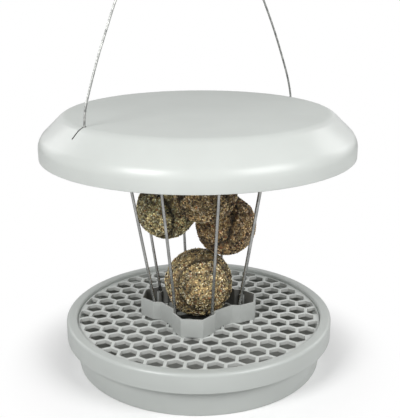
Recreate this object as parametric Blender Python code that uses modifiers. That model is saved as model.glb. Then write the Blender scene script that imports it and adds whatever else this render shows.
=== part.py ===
"""Hanging bird feeding station.

A roof and a basket of eight rods stand over a honeycomb grid in a round tray.
Metres, +Z up, origin at the middle of the tray's underside. The collar's four lobes
lie on the X and Y axes, and the cable's arch lies in the vertical plane between them.
"""

import math

import bmesh
import bpy
from mathutils import Matrix, Vector
from mathutils.geometry import interpolate_bezier, intersect_point_line

# Clearance between pieces that fit or rest on each other
GAP = 0.0003

# Tray
TRAY_HEIGHT = 0.0466
TRAY_RIM_RADIUS = 0.1288
TRAY_RIM_WIDTH = 0.0103
TRAY_SKIRT_HEIGHT = 0.0187
TRAY_BASE_INSET = 0.0125
TRAY_DRAFT = 0.0009
TRAY_WALL = 0.0024
TRAY_RIM_ROUND = 0.0032
TRAY_SEAT_ROUND = 0.0016
TRAY_FLOOR_ROUND = 0.0050
TRAY_BASE_CHAMFER = 0.0010

# Honeycomb grid
GRID_BELOW_RIM = 0.0034
GRID_THICKNESS = 0.0050
GRID_PITCH = 0.0175
GRID_RIB = 0.0029
GRID_BORDER = 0.0030

# Rods of the basket
ROD_COUNT = 8
ROD_DIAMETER = 0.0028
ROD_FOOT_RADIUS = 0.0448
ROD_TOP_RADIUS = 0.0730
ROD_BEND_RADIUS = 0.0050

# Collar round the foot of the basket
COLLAR_HEIGHT = 0.0178
COLLAR_WALL = 0.0019
COLLAR_REACH = 0.0556
COLLAR_FACE_WIDTH = 0.0210
COLLAR_SHOULDER_LENGTH = 0.0075
COLLAR_SOCKET_BELOW_TOP = 0.0045
COLLAR_FOOT_LENGTH = 0.0040
SOCKET_WALL = 0.0013
SOCKET_FLOOR = 0.0015

# Roof
ROOF_RADIUS = 0.1450
ROOF_TOP_HEIGHT = 0.2448
ROOF_DEPTH = 0.0384
ROOF_SHOULDER_WIDTH = 0.0231
ROOF_RIM_HEIGHT = 0.0162
ROOF_WALL = 0.0023
ROOF_RIM_ROUND = 0.0150
ROOF_CREASE_ROUND = 0.0120
ROOF_LIP_ROUND = 0.0007
ROOF_SOCKET_DEPTH = 0.0125
ROOF_SOCKET_WALL = 0.0018

# Cable, its stops and its ring
CABLE_DIAMETER = 0.0020
CABLE_AZIMUTH = math.radians(45)
CABLE_HOLE_INSET = 0.0031
CABLE_HOLE_DIAMETER = 0.0034
CABLE_SLOT_WIDTH = 0.0018
CABLE_SLOT_LENGTH = 0.0125
CABLE_PAD_DEPTH = 0.0020
CABLE_PAD_MARGIN = 0.0008
FERRULE_DIAMETER = 0.0062
FERRULE_LENGTH = 0.0100
RING_RADIUS = 0.0120
RING_WIRE = 0.0030

# The cable's route in its own plane, from hole to hole, as distance from the axis and
# height over the roof
CABLE_ARCH = (
    (-0.1188, 0.0020),
    (-0.1172, 0.0140),
    (-0.1125, 0.0292),
    (-0.1039, 0.0532),
    (-0.0943, 0.0762),
    (-0.0842, 0.0992),
    (-0.0700, 0.1235),
    (-0.0520, 0.1470),
    (-0.0310, 0.1665),
    (-0.0120, 0.1768),
    (0.0020, 0.1786),
    (0.0160, 0.1750),
    (0.0340, 0.1610),
    (0.0530, 0.1395),
    (0.0690, 0.1130),
    (0.0805, 0.0930),
    (0.0943, 0.0662),
    (0.1072, 0.0372),
    (0.1146, 0.0182),
    (0.1188, 0.0020),
)

# Fat balls: radius, and where each was put down in the basket, in the order of filling
FAT_BALLS = (
    (0.0330, (0.0000, 0.0000)),
    (0.0292, (0.0258, 0.0055)),
    (0.0292, (-0.0308, 0.0028)),
    (0.0292, (0.0100, -0.0315)),
)
BALL_DROP_STEP = 0.0010

# Facets
ROUND_STEPS = 56
SOCKET_SIDES = 10
WIRE_SIDES = 8
RING_STEPS = 20
CABLE_POINTS = 60
BALL_SUBDIVISIONS = 3

# Heights and radii that follow from the sizes above
GRID_TOP = TRAY_HEIGHT - GRID_BELOW_RIM
GRID_BOTTOM = GRID_TOP - GRID_THICKNESS
TRAY_SEAT_RADIUS = TRAY_RIM_RADIUS - TRAY_RIM_WIDTH
TRAY_BASE_RADIUS = TRAY_RIM_RADIUS - TRAY_BASE_INSET
TRAY_LEDGE = GRID_BOTTOM - GAP
GRID_RADIUS = TRAY_SEAT_RADIUS - GAP
CELL_WIDTH = GRID_PITCH - GRID_RIB
COLLAR_BOTTOM = GRID_TOP + GAP
COLLAR_TOP = COLLAR_BOTTOM + COLLAR_HEIGHT
ROD_RADIUS = ROD_DIAMETER / 2
BORE_RADIUS = ROD_RADIUS + GAP
COLLAR_SOCKET_RADIUS = BORE_RADIUS + SOCKET_WALL
COLLAR_SOCKET_TOP = COLLAR_TOP - COLLAR_SOCKET_BELOW_TOP
ROOF_EDGE_HEIGHT = ROOF_TOP_HEIGHT - ROOF_DEPTH
ROOF_FLAT_RADIUS = ROOF_RADIUS - ROOF_SHOULDER_WIDTH
ROOF_UNDERSIDE = ROOF_TOP_HEIGHT - ROOF_WALL
ROOF_SOCKET_BOTTOM = ROOF_UNDERSIDE - ROOF_SOCKET_DEPTH
CABLE_HOLE_RADIUS = ROOF_FLAT_RADIUS - CABLE_HOLE_INSET
FERRULE_TOP = ROOF_UNDERSIDE - CABLE_PAD_DEPTH - GAP
FERRULE_BOTTOM = FERRULE_TOP - FERRULE_LENGTH
ROD_AZIMUTHS = [math.tau * (i + 0.5) / ROD_COUNT for i in range(ROD_COUNT)]


def start_scene():
    """Empty the scene and make one collection for the parts and one for the cutters."""
    for old in list(bpy.data.objects):
        bpy.data.objects.remove(old, do_unlink=True)
    made = []
    for name in ("bird_feeding_station", "cutters"):
        collection = bpy.data.collections.new(name)
        bpy.context.scene.collection.children.link(collection)
        made.append(collection)
    return made


PARTS, CUTTERS = start_scene()


def material(name, colour, roughness, metallic=0.0):
    made = bpy.data.materials.new(name)
    made.use_nodes = True
    shader = made.node_tree.nodes["Principled BSDF"]
    shader.inputs["Base Color"].default_value = (*colour, 1.0)
    shader.inputs["Roughness"].default_value = roughness
    shader.inputs["Metallic"].default_value = metallic
    return made


GREY_PLASTIC = material("grey_plastic", (0.52, 0.55, 0.52), 0.42)
GRID_PLASTIC = material("grid_plastic", (0.47, 0.50, 0.47), 0.48)
ROD_PAINT = material("rod_paint", (0.30, 0.32, 0.32), 0.38, 0.4)
CABLE_STEEL = material("cable_steel", (0.62, 0.62, 0.62), 0.30, 1.0)
FAT_AND_SEED = material("fat_and_seed", (0.34, 0.24, 0.11), 0.85)


def add(name, data, finish=None):
    """Put mesh or curve data in the scene, as a part with its finish or else as a cutter."""
    made = bpy.data.objects.new(name, data)
    if finish:
        data.materials.append(finish)
        PARTS.objects.link(made)
    else:
        made.hide_render = True
        made.display_type = "WIRE"
        CUTTERS.objects.link(made)
    return made


def mesh_from(name, bm):
    mesh = bpy.data.meshes.new(name)
    bm.to_mesh(mesh)
    bm.free()
    return mesh


def boolean(target, other, operation):
    """Join another object to the target, cut it out, or keep what they share."""
    modifier = target.modifiers.new(other.name, "BOOLEAN")
    modifier.object = other
    modifier.operation = operation
    modifier.solver = "EXACT"
    return target


def smooth(made, angle=35):
    made.data.shade_smooth()
    made.data.set_sharp_from_angle(angle=math.radians(angle))


def fillet(corner, before, after, radius, segments):
    """Points of the arc that rounds a corner of a profile between its two neighbours."""
    corner = Vector(corner)
    to_before = (Vector(before) - corner).normalized()
    to_after = (Vector(after) - corner).normalized()
    half = to_before.angle(to_after) / 2
    start = corner + to_before * radius / math.tan(half)
    centre = corner + (to_before + to_after).normalized() * radius / math.sin(half)
    arm = start - centre
    swept = math.pi - 2 * half
    turn = math.copysign(swept, to_before.cross(to_after))
    points = []
    for i in range(segments + 1):
        points.append(centre + Matrix.Rotation(-turn * i / segments, 2) @ arm)
    return points


def rounded(corners):
    """A profile from corners (x, y) or (x, y, radius, segments)."""
    points = []
    for i, corner in enumerate(corners):
        place = corner[:2]
        if len(corner) == 2:
            points.append(Vector(place))
            continue
        before = corners[i - 1][:2]
        after = corners[(i + 1) % len(corners)][:2]
        points.extend(fillet(place, before, after, *corner[2:]))
    return points


def turned(name, profile, finish, closed=False, steps=ROUND_STEPS, at=(0, 0)):
    """A turned piece from a profile (radius, height) that runs down its outer side."""
    bm = bmesh.new()
    points = [bm.verts.new((r, 0, z)) for r, z in profile]
    for a, b in zip(points, points[1:]):
        bm.edges.new((a, b))
    if closed:
        bm.edges.new((points[-1], points[0]))
    made = add(name, mesh_from(name, bm), finish)
    made.location = (*at, 0)
    screw = made.modifiers.new("turn", "SCREW")
    screw.steps = screw.render_steps = steps
    screw.use_merge_vertices = True
    screw.merge_threshold = 0.00001
    screw.use_smooth_shade = True
    return made


def cylinders(name, places, radius, low, high, sides, turn=0.0):
    """A cutter of upright cylinders or prisms at the places (x, y)."""
    bm = bmesh.new()
    for x, y in places:
        spot = Matrix.Translation((x, y, (low + high) / 2)) @ Matrix.Rotation(turn, 4, "Z")
        bmesh.ops.create_cone(
            bm,
            cap_ends=True,
            segments=sides,
            radius1=radius,
            radius2=radius,
            depth=high - low,
            matrix=spot,
        )
    return add(name, mesh_from(name, bm))


def tube(name, points, diameter, finish):
    """A round wire along the points."""
    curve = bpy.data.curves.new(name, "CURVE")
    curve.dimensions = "3D"
    curve.bevel_depth = diameter / 2
    curve.bevel_resolution = WIRE_SIDES // 2 - 2
    curve.use_fill_caps = True
    spline = curve.splines.new("POLY")
    spline.points.add(len(points) - 1)
    for knot, place in zip(spline.points, points):
        knot.co = (*place, 1)
    return add(name, curve, finish)


def polar(radius, azimuth):
    return radius * math.cos(azimuth), radius * math.sin(azimuth)


def make_tray():
    """Bowl with a ledge for the grid, and a rim folded over into a skirt."""
    base_inside = TRAY_BASE_RADIUS - TRAY_WALL
    bowl_top = TRAY_BASE_RADIUS + TRAY_DRAFT
    skirt_bottom = TRAY_HEIGHT - TRAY_SKIRT_HEIGHT
    fold_top = TRAY_HEIGHT - TRAY_WALL
    ledge_under = TRAY_LEDGE - TRAY_WALL
    profile = rounded(
        [
            (0, TRAY_WALL),
            (base_inside, TRAY_WALL, TRAY_FLOOR_ROUND, 3),
            (bowl_top - TRAY_WALL, TRAY_LEDGE),
            (TRAY_SEAT_RADIUS, TRAY_LEDGE),
            (TRAY_SEAT_RADIUS, TRAY_HEIGHT, TRAY_SEAT_ROUND, 2),
            (TRAY_RIM_RADIUS, TRAY_HEIGHT, TRAY_RIM_ROUND, 3),
            (TRAY_RIM_RADIUS, skirt_bottom),
            (TRAY_RIM_RADIUS - TRAY_WALL, skirt_bottom),
            (TRAY_RIM_RADIUS - TRAY_WALL, fold_top),
            (TRAY_SEAT_RADIUS + TRAY_WALL, fold_top),
            (TRAY_SEAT_RADIUS + TRAY_WALL, ledge_under),
            (bowl_top, ledge_under),
            (TRAY_BASE_RADIUS, TRAY_BASE_CHAMFER),
            (TRAY_BASE_RADIUS - TRAY_BASE_CHAMFER, 0),
            (0, 0),
        ]
    )
    return turned("tray", profile, GREY_PLASTIC)


def grid_cells(reach):
    """Middles of the cells in reach: rows along X, one cell on the axis."""
    row_step = GRID_PITCH * math.sqrt(3) / 2
    rows = math.ceil(reach / row_step)
    columns = math.ceil(reach / GRID_PITCH) + 1
    cells = []
    for row in range(-rows, rows + 1):
        for column in range(-columns, columns + 1):
            x = (column + (row % 2) / 2) * GRID_PITCH
            y = row * row_step
            if math.hypot(x, y) < reach:
                cells.append((x, y))
    return cells


def make_grid():
    """Round plate cut by hexagonal cells, with a plain border."""
    field = GRID_RADIUS - GRID_BORDER
    low, high = GRID_BOTTOM - GRID_THICKNESS, GRID_TOP + GRID_THICKNESS
    cells = cylinders(
        "grid_cells",
        grid_cells(field),
        CELL_WIDTH / math.sqrt(3),
        low,
        high,
        6,
        math.radians(30),
    )
    border = cylinders("grid_field", [(0, 0)], field, low - GAP, high + GAP, ROUND_STEPS)
    boolean(cells, border, "INTERSECT")
    plate = turned(
        "seed_grid",
        [(0, GRID_TOP), (GRID_RADIUS, GRID_TOP), (GRID_RADIUS, GRID_BOTTOM), (0, GRID_BOTTOM)],
        GRID_PLASTIC,
    )
    return boolean(plate, cells, "DIFFERENCE")


def collar_outline():
    """The collar's outer outline: four lobes with a rod socket at each shoulder."""
    x, y = polar(ROD_FOOT_RADIUS, ROD_AZIMUTHS[0])
    shoulder = y + COLLAR_SOCKET_RADIUS
    outer = x + SOCKET_WALL / 2
    inner = outer - COLLAR_SHOULDER_LENGTH
    face = COLLAR_FACE_WIDTH / 2
    lobe = [
        (COLLAR_REACH, -face),
        (COLLAR_REACH, face),
        (outer, shoulder),
        (inner, shoulder),
        (shoulder, inner),
        (shoulder, outer),
    ]
    outline = []
    for quarter in range(4):
        turn = Matrix.Rotation(math.radians(90) * quarter, 2)
        outline.extend(turn @ Vector(corner) for corner in lobe)
    return outline


def make_collar():
    """Thin four-lobed wall with eight rod sockets, and four feet that reach into the grid."""
    outline = collar_outline()
    low = COLLAR_BOTTOM - GAP - COLLAR_FOOT_LENGTH
    bm = bmesh.new()
    floor = bm.faces.new([bm.verts.new((*corner, low)) for corner in outline])
    floor.normal_update()
    bmesh.ops.inset_region(
        bm, faces=[floor], thickness=COLLAR_WALL, use_boundary=True, use_even_offset=True
    )
    bmesh.ops.delete(bm, geom=[floor], context="FACES_ONLY")
    collar = add("ball_collar", mesh_from("ball_collar", bm), GRID_PLASTIC)
    wall = collar.modifiers.new("height", "SOLIDIFY")
    wall.thickness = COLLAR_TOP - low
    wall.offset = 1

    rod_places = [polar(ROD_FOOT_RADIUS, azimuth) for azimuth in ROD_AZIMUTHS]
    sockets = cylinders(
        "collar_sockets",
        rod_places,
        COLLAR_SOCKET_RADIUS - GAP,
        COLLAR_BOTTOM - GAP,
        COLLAR_SOCKET_TOP,
        SOCKET_SIDES,
    )
    boolean(collar, sockets, "UNION")

    trim = cylinders(
        "collar_trim",
        [(0, 0)],
        COLLAR_REACH + COLLAR_FACE_WIDTH,
        low - GAP,
        COLLAR_BOTTOM,
        ROUND_STEPS,
    )
    x, y = min(grid_cells(COLLAR_REACH), key=lambda cell: math.dist(cell, outline[4]))
    feet = cylinders(
        "collar_feet",
        [(sx * x, sy * y) for sx in (1, -1) for sy in (1, -1)],
        (CELL_WIDTH - 2 * GAP) / math.sqrt(3),
        low - 2 * GAP,
        COLLAR_BOTTOM + GAP,
        6,
        math.radians(30),
    )
    boolean(trim, feet, "DIFFERENCE")
    boolean(collar, trim, "DIFFERENCE")
    bores = cylinders(
        "collar_bores",
        rod_places,
        BORE_RADIUS,
        COLLAR_BOTTOM + SOCKET_FLOOR,
        COLLAR_TOP + COLLAR_HEIGHT,
        SOCKET_SIDES,
    )
    return boolean(collar, bores, "DIFFERENCE")


def rod_line():
    """One rod as (radius, height): foot, bend, slanted bar, bend and tip."""
    foot = Vector((ROD_FOOT_RADIUS, COLLAR_BOTTOM + SOCKET_FLOOR + GAP))
    low_bend = Vector((ROD_FOOT_RADIUS, COLLAR_TOP + ROD_RADIUS))
    high_bend = Vector((ROD_TOP_RADIUS, ROOF_SOCKET_BOTTOM - ROD_RADIUS))
    tip = Vector((ROD_TOP_RADIUS, ROOF_UNDERSIDE - GAP))
    return rounded(
        [foot, (*low_bend, ROD_BEND_RADIUS, 2), (*high_bend, ROD_BEND_RADIUS, 2), tip]
    )


def make_rods():
    rods = []
    for number, azimuth in enumerate(ROD_AZIMUTHS, 1):
        points = [(*polar(radius, azimuth), height) for radius, height in rod_line()]
        rods.append(tube(f"rod_{number}", points, ROD_DIAMETER, ROD_PAINT))
    return rods


def make_roof():
    """Moulded cover with rod sockets underneath and two keyhole slots for the cable."""
    rim_top = ROOF_EDGE_HEIGHT + ROOF_RIM_HEIGHT
    slope = math.atan2(ROOF_TOP_HEIGHT - rim_top, ROOF_RADIUS - ROOF_FLAT_RADIUS)
    step_in = ROOF_WALL * math.tan(slope / 2)
    step_down = ROOF_WALL * math.tan((math.pi / 2 - slope) / 2)
    inside = ROOF_RADIUS - ROOF_WALL
    profile = rounded(
        [
            (0, ROOF_TOP_HEIGHT),
            (ROOF_FLAT_RADIUS, ROOF_TOP_HEIGHT, ROOF_CREASE_ROUND, 3),
            (ROOF_RADIUS, rim_top, ROOF_RIM_ROUND, 4),
            (ROOF_RADIUS, ROOF_EDGE_HEIGHT, ROOF_LIP_ROUND, 1),
            (inside, ROOF_EDGE_HEIGHT, ROOF_LIP_ROUND, 1),
            (inside, rim_top - step_down, ROOF_RIM_ROUND - ROOF_WALL, 3),
            (ROOF_FLAT_RADIUS - step_in, ROOF_UNDERSIDE, ROOF_CREASE_ROUND - ROOF_WALL, 2),
            (0, ROOF_UNDERSIDE),
        ]
    )
    roof = turned("roof", profile, GREY_PLASTIC)

    tips = [polar(ROD_TOP_RADIUS, azimuth) for azimuth in ROD_AZIMUTHS]
    outside = BORE_RADIUS + ROOF_SOCKET_WALL
    sockets = cylinders(
        "roof_sockets",
        tips,
        outside,
        ROOF_SOCKET_BOTTOM,
        ROOF_UNDERSIDE + ROOF_WALL / 2,
        SOCKET_SIDES,
    )
    boolean(roof, sockets, "UNION")
    bores = cylinders(
        "roof_bores",
        tips,
        BORE_RADIUS,
        ROOF_SOCKET_BOTTOM - GAP,
        ROOF_UNDERSIDE,
        SOCKET_SIDES,
    )
    boolean(roof, bores, "DIFFERENCE")

    low, high = ROOF_EDGE_HEIGHT, ROOF_TOP_HEIGHT + ROOF_WALL
    ends = (CABLE_AZIMUTH, CABLE_AZIMUTH + math.pi)
    exits = [polar(CABLE_HOLE_RADIUS, azimuth) for azimuth in ends]
    pads = cylinders(
        "cable_pads",
        exits,
        FERRULE_DIAMETER / 2 + CABLE_PAD_MARGIN,
        ROOF_UNDERSIDE - CABLE_PAD_DEPTH,
        ROOF_UNDERSIDE + GAP,
        SOCKET_SIDES,
    )
    boolean(roof, pads, "UNION")
    holes = cylinders(
        "cable_holes",
        exits,
        CABLE_HOLE_DIAMETER / 2,
        low,
        high,
        SOCKET_SIDES,
    )
    boolean(roof, holes, "DIFFERENCE")
    bm = bmesh.new()
    for azimuth in ends:
        size = Matrix.Diagonal((CABLE_SLOT_LENGTH, CABLE_SLOT_WIDTH, high - low, 1))
        middle = (CABLE_HOLE_RADIUS + CABLE_SLOT_LENGTH / 2, 0, (low + high) / 2)
        place = Matrix.Rotation(azimuth, 4, "Z") @ Matrix.Translation(middle) @ size
        bmesh.ops.create_cube(bm, size=1, matrix=place)
    slots = add("cable_slots", mesh_from("cable_slots", bm))
    return boolean(roof, slots, "DIFFERENCE")


def smooth_route(points, count):
    """Evenly spaced points on a smooth curve through the given points."""
    points = [Vector(point) for point in points]
    fine = []
    for i, (a, b) in enumerate(zip(points, points[1:])):
        before = points[max(i - 1, 0)]
        after = points[min(i + 2, len(points) - 1)]
        fine.extend(interpolate_bezier(a, a + (b - before) / 6, b - (after - a) / 6, b, 24)[:-1])
    fine.append(points[-1])
    along = [0.0]
    for a, b in zip(fine, fine[1:]):
        along.append(along[-1] + (b - a).length)
    route = []
    k = 0
    for i in range(count):
        at = along[-1] * i / (count - 1)
        while k < len(along) - 2 and along[k + 1] < at:
            k += 1
        share = (at - along[k]) / (along[k + 1] - along[k])
        route.append(fine[k].lerp(fine[k + 1], share))
    return route


def make_cable():
    """Wire rope: up through one slot, over the ring and down through the other slot."""
    end = FERRULE_BOTTOM - GAP
    stub = [(CABLE_HOLE_RADIUS, height) for height in (FERRULE_TOP, end)]
    spread = CABLE_HOLE_RADIUS / CABLE_ARCH[-1][0]
    flat = [(-reach, height) for reach, height in reversed(stub)]
    flat += [(reach * spread, ROOF_TOP_HEIGHT + rise) for reach, rise in CABLE_ARCH]
    flat += stub
    points = [(*polar(reach, CABLE_AZIMUTH), height) for reach, height in flat]
    route = smooth_route(points, CABLE_POINTS)
    return tube("hanging_cable", route, CABLE_DIAMETER, CABLE_STEEL), route


def make_ferrules():
    """Crimped sleeves that stop the cable's ends under the roof."""
    bore = CABLE_DIAMETER / 2 + GAP
    outside = FERRULE_DIAMETER / 2
    top, low = FERRULE_TOP, FERRULE_BOTTOM
    for number, azimuth in enumerate((CABLE_AZIMUTH + math.pi, CABLE_AZIMUTH), 1):
        turned(
            f"cable_ferrule_{number}",
            [(bore, top), (outside, top), (outside, low), (bore, low)],
            CABLE_STEEL,
            closed=True,
            steps=SOCKET_SIDES,
            at=polar(CABLE_HOLE_RADIUS, azimuth),
        )


def make_ring(route):
    """Steel ring that the top of the cable's arch hangs in."""
    peak = max(route, key=lambda point: point.z)
    drop = CABLE_DIAMETER / 2 + GAP + RING_WIRE / 2
    bpy.ops.mesh.primitive_torus_add(
        major_segments=RING_STEPS,
        minor_segments=WIRE_SIDES,
        major_radius=RING_RADIUS,
        minor_radius=RING_WIRE / 2,
        location=(peak.x, peak.y, peak.z - drop + RING_RADIUS),
        rotation=(0, math.radians(90), CABLE_AZIMUTH),
    )
    ring = bpy.context.object
    ring.name = ring.data.name = "hanging_ring"
    ring.data.materials.append(CABLE_STEEL)
    for collection in list(ring.users_collection):
        collection.objects.unlink(ring)
    PARTS.objects.link(ring)
    smooth(ring)
    return ring


def room(centre, radius, placed):
    """The least distance from a ball to the rods, the balls placed before and the cell under it."""
    least = math.hypot(CELL_WIDTH / 2, centre.z - GRID_TOP) - radius
    line = rod_line()
    for azimuth in ROD_AZIMUTHS:
        corners = [Vector((*polar(r, azimuth), z)) for r, z in line]
        for a, b in zip(corners, corners[1:]):
            near, share = intersect_point_line(centre, a, b)
            near = a.lerp(b, min(max(share, 0), 1))
            least = min(least, (centre - near).length - radius - ROD_RADIUS)
    for other, other_radius in placed:
        least = min(least, (centre - other).length - radius - other_radius)
    return least


def make_balls():
    """Fat balls, each let down in the basket until it rests on something."""
    placed = []
    for number, (radius, (x, y)) in enumerate(FAT_BALLS, 1):
        centre = Vector((x, y, ROOF_SOCKET_BOTTOM - radius))
        step = BALL_DROP_STEP
        while step > GAP / 100:
            lower = centre - Vector((0, 0, step))
            if room(lower, radius, placed) >= GAP:
                centre = lower
            else:
                step /= 2
        placed.append((centre, radius))
        bm = bmesh.new()
        bmesh.ops.create_icosphere(bm, subdivisions=BALL_SUBDIVISIONS, radius=radius)
        ball = add(f"fat_ball_{number}", mesh_from(f"fat_ball_{number}", bm), FAT_AND_SEED)
        ball.location = centre
        smooth(ball)
        print(f"{ball.name}: rests at height {centre.z:.4f}")


make_tray()
make_grid()
make_collar()
make_rods()
make_roof()
cable, cable_route = make_cable()
make_ferrules()
make_ring(cable_route)
make_balls()
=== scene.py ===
# %% [markdown]
# # A hanging feeding station
#
# A round grey tray holds a honeycomb grid. A lobed collar on the grid carries eight bent
# steel rods, four balls of fat and seed rest between the rods, and a shallow round roof
# closes the basket and hangs from a twisted steel cable.
# The frame holds every part at its place, as plain solids. In this lesson each solid gets a
# finer mesh and a finish of its own. The main sizes are read from the frame, and the finer
# ones are named where they are first needed, in metres.

# %% Load the frame
import math
import random
from bisect import bisect_right

import bmesh
import bpy
from mathutils import Matrix, Quaternion, Vector, noise
from mathutils.geometry import interpolate_bezier


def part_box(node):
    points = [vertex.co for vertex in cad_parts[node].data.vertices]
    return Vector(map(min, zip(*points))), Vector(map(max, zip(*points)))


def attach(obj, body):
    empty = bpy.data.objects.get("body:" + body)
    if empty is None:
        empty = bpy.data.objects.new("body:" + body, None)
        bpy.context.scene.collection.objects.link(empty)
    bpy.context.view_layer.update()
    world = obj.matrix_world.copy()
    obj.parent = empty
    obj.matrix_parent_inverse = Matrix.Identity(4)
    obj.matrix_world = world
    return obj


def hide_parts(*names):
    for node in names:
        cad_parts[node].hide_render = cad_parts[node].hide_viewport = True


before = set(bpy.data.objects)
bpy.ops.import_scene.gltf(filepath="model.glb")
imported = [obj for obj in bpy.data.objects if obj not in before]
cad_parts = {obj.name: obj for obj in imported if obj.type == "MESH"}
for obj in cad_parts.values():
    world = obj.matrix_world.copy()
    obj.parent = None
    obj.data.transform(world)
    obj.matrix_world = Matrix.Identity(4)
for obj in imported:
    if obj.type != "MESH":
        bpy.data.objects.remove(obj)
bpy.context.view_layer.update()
scene = bpy.context.scene

# %% [markdown]
# ## The camera
#
# The camera stands a little to the right of the station and looks slightly down on the roof.
# A camera can be aimed with a constraint, but a fixed direction is easier to keep: the
# direction becomes a rotation with `to_track_quat`, and a last small turn about the
# camera's own axis gives the slight lean of the picture.

# %% Camera
CAMERA_PLACE = Vector((0.0801, -0.6992, 0.3712))
CAMERA_AIM = Vector((-0.1063, 0.9482, -0.2994))
CAMERA_LEAN = math.radians(-0.275)
CAMERA_LENS = 67.0
CAMERA_NEAR = 0.01

camera_data = bpy.data.cameras.new("camera")
camera_data.lens = CAMERA_LENS
camera_data.clip_start = CAMERA_NEAR
camera = bpy.data.objects.new("camera", camera_data)
camera.location = CAMERA_PLACE
aim = CAMERA_AIM.to_track_quat("-Z", "Y") @ Quaternion((0, 0, 1), CAMERA_LEAN)
camera.rotation_euler = aim.to_euler()
scene.collection.objects.link(camera)
scene.camera = camera
print("camera", [round(v, 3) for v in camera.location], "lens", camera_data.lens)

# %% [markdown]
# ## Three small helpers
#
# Every piece ends the same way: its bmesh becomes an object at the origin that rides on one
# moving body of the frame, stands for one or more of its solids and takes a finish.
# Moulded parts look right when their faces are smooth and only the real corners stay
# sharp, so a second helper marks the edges that turn more than a given angle. A third one
# reads how far a solid of the frame reaches.

# %% Helpers for finished pieces
def box_of(node):
    """The lowest and the highest corner of a solid of the frame."""
    low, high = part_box(node)
    return Vector(low), Vector(high)


def keep_corners(bm, sharpest=35):
    """Smooth faces, with the edges that turn more than an angle in degrees kept sharp."""
    for face in bm.faces:
        face.smooth = True
    for edge in bm.edges:
        turn = edge.calc_face_angle(0.0)
        edge.smooth = turn < math.radians(sharpest)


def finished(bm, name, body, nodes, finish):
    """Turns a bmesh into a piece that rides on a body and stands for some solids."""
    mesh = bpy.data.meshes.new(name)
    bm.to_mesh(mesh)
    bm.free()
    mesh.materials.append(finish)
    piece = bpy.data.objects.new(name, mesh)
    scene.collection.objects.link(piece)
    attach(piece, body)
    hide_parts(*nodes)
    print(f"{name}: {len(mesh.polygons)} faces, stands for {', '.join(nodes)}")
    return piece


print("helpers ready")

# %% [markdown]
# ## Bare steel
#
# The cable, its two crimped sleeves and the hanging ring are bare steel. Steel could be a
# plain metallic colour, but real wire is never evenly clean. One noise in object
# coordinates clouds the colour a little, a second one moves the roughness, and a third,
# very fine one gives a bump the size of drawing marks.

# %% Steel finish
TINT_SPAN = (0.35, 0.65)
GLOSS_SPAN = (0.3, 0.7)


def noise_node(material, scale, detail):
    """A noise texture on object coordinates."""
    nodes, links = material.node_tree.nodes, material.node_tree.links
    place = nodes.new("ShaderNodeTexCoord")
    texture = nodes.new("ShaderNodeTexNoise")
    texture.inputs["Scale"].default_value = scale
    texture.inputs["Detail"].default_value = detail
    links.new(place.outputs["Object"], texture.inputs["Vector"])
    return texture


def tint_between(material, texture, dark, light):
    """Mixes two colours by a texture and feeds the shader's base colour."""
    nodes, links = material.node_tree.nodes, material.node_tree.links
    ramp = nodes.new("ShaderNodeValToRGB")
    ramp.color_ramp.elements[0].position = TINT_SPAN[0]
    ramp.color_ramp.elements[0].color = (*dark, 1)
    ramp.color_ramp.elements[1].position = TINT_SPAN[1]
    ramp.color_ramp.elements[1].color = (*light, 1)
    links.new(texture.outputs["Fac"], ramp.inputs["Fac"])
    links.new(ramp.outputs["Color"], nodes["Principled BSDF"].inputs["Base Color"])


def gloss_between(material, texture, low, high):
    """Lets a texture move the roughness between two values."""
    nodes, links = material.node_tree.nodes, material.node_tree.links
    reach = nodes.new("ShaderNodeMapRange")
    reach.inputs["From Min"].default_value = GLOSS_SPAN[0]
    reach.inputs["From Max"].default_value = GLOSS_SPAN[1]
    reach.inputs["To Min"].default_value = low
    reach.inputs["To Max"].default_value = high
    links.new(texture.outputs["Fac"], reach.inputs["Value"])
    links.new(reach.outputs["Result"], nodes["Principled BSDF"].inputs["Roughness"])


def bump_from(material, texture, depth, strength):
    """Lets a texture raise the surface by a small depth in metres."""
    nodes, links = material.node_tree.nodes, material.node_tree.links
    bump = nodes.new("ShaderNodeBump")
    bump.inputs["Strength"].default_value = strength
    bump.inputs["Distance"].default_value = depth
    links.new(texture.outputs["Fac"], bump.inputs["Height"])
    links.new(bump.outputs["Normal"], nodes["Principled BSDF"].inputs["Normal"])


def new_finish(name, metallic):
    """A material with one shader, either metal or not."""
    material = bpy.data.materials.new(name)
    material.use_nodes = True
    material.node_tree.nodes["Principled BSDF"].inputs["Metallic"].default_value = metallic
    return material


cable_steel = new_finish("cable_steel", metallic=1.0)
tint_between(
    cable_steel, noise_node(cable_steel, scale=260, detail=3),
    dark=(0.19, 0.195, 0.19), light=(0.42, 0.425, 0.41),
)
gloss_between(cable_steel, noise_node(cable_steel, scale=900, detail=2), low=0.42, high=0.58)
bump_from(cable_steel, noise_node(cable_steel, scale=6000, detail=1), depth=0.00004, strength=0.5)
print("steel nodes:", len(cable_steel.node_tree.nodes))

# %% [markdown]
# ## The cable's route
#
# The cable comes up through one edge of the roof, rises in a high arch and goes down
# through the opposite edge, so it lies in one upright plane. Only its lower half is
# in the picture; its top, which the ring holds, is just above the picture's edge.
# A few points give the arch, and a smooth curve runs through them. Such a route could be
# a curve object, but a list of points also serves to measure the length.

# %% Cable route
CABLE_DIAMETER = 0.0020
CABLE_AZIMUTH = math.radians(45)
CABLE_HOLE_RADIUS = 0.1188
CABLE_END_HEIGHT = 0.2299
SLEEVE_TOP = 0.2402
ROUTE_STEPS = 8
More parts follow.
